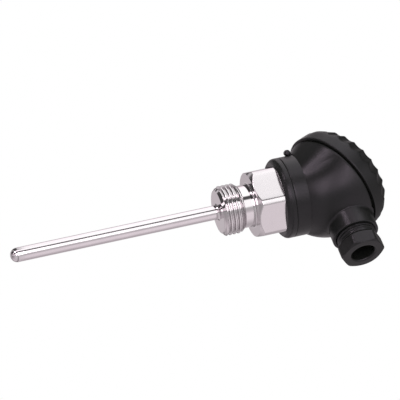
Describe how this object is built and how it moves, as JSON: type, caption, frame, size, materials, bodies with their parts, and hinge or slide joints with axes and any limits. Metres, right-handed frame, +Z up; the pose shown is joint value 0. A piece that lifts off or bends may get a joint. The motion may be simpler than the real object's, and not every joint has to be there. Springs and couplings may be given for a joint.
{
  "type": "rtd temperature probe with connection head",
  "caption": "Sheathed resistance thermometer with a hexagon process thread and a moulded black connection head with an inclined screw lid and cable gland.",
  "frame": {"origin": "centre of the seal face of the hexagon, on the probe axis", "axes": "+Z up the probe axis towards the head, +X out of the cable gland, the lid leans 30 degrees from +Z towards -X"},
  "size_m": [0.0598, 0.0474, 0.159],
  "materials": {
    "stainless_tube": "drawn and polished",
    "stainless_turned": "turned, bright",
    "black_plastic": "satin, glass-filled polyamide",
    "rubber": "moulded",
    "alumina": "fired ceramic",
    "potting": "cast resin",
    "wire_red": "extruded",
    "wire_white": "extruded",
    "terminal_moulding": "moulded thermoset",
    "brass": "machined",
    "plated_steel": "zinc plated"
  },
  "bodies": {
    "probe": {"sheath_tube": "stainless_tube", "process_fitting": "stainless_turned", "sensing_element": "alumina", "insulator": "alumina", "lead_wire_1": "wire_red", "lead_wire_2": "wire_white", "lead_wire_3": "wire_red", "potting_plug": "potting", "neck_ring": "black_plastic", "neck_oring": "rubber", "head_body": "black_plastic", "terminal_base": "terminal_moulding", "terminal_1": "brass", "terminal_2": "brass", "terminal_3": "brass", "base_screws": "plated_steel", "gland_seal": "rubber"},
    "lid_seal": {"lid_oring": "rubber"},
    "lid": {"lid": "black_plastic"},
    "gland_washer": {"gland_washer": "plated_steel"},
    "gland_nut": {"gland_nut": "black_plastic"},
    "screw_1": {"terminal_screw_1": "plated_steel"},
    "screw_2": {"terminal_screw_2": "plated_steel"},
    "screw_3": {"terminal_screw_3": "plated_steel"}
  },
  "joints": [
    {"name": "lid_lift", "type": "slide", "parent": "probe", "child": "lid_seal", "axis": [-0.5, 0, 0.866], "range_m": [0, 0.012]},
    {"name": "lid_turn", "type": "hinge", "parent": "lid_seal", "child": "lid", "pos_m": [-0.00085, 0, 0.0363], "axis": [-0.5, 0, 0.866], "range_deg": [0, 1440]},
    {"name": "gland_travel", "type": "slide", "parent": "probe", "child": "gland_washer", "axis": [1, 0, 0], "range_m": [-0.0036, 0.0031]},
    {"name": "gland_turn", "type": "hinge", "parent": "gland_washer", "child": "gland_nut", "pos_m": [0, 0, 0.0377], "axis": [1, 0, 0], "range_deg": [-852, 720]},
    {"name": "screw_1_lift", "type": "slide", "parent": "probe", "child": "screw_1", "axis": [0, 0, 1], "range_m": [0, 0.002]},
    {"name": "screw_2_lift", "type": "slide", "parent": "probe", "child": "screw_2", "axis": [0, 0, 1], "range_m": [0, 0.002]},
    {"name": "screw_3_lift", "type": "slide", "parent": "probe", "child": "screw_3", "axis": [0, 0, 1], "range_m": [0, 0.002]}
  ],
  "couplings": [
    {"joint": "lid_lift", "follows": "lid_turn", "m_per_rad": 0.00047746},
    {"joint": "gland_travel", "follows": "gland_turn", "m_per_rad": 0.00023873}
  ]
}
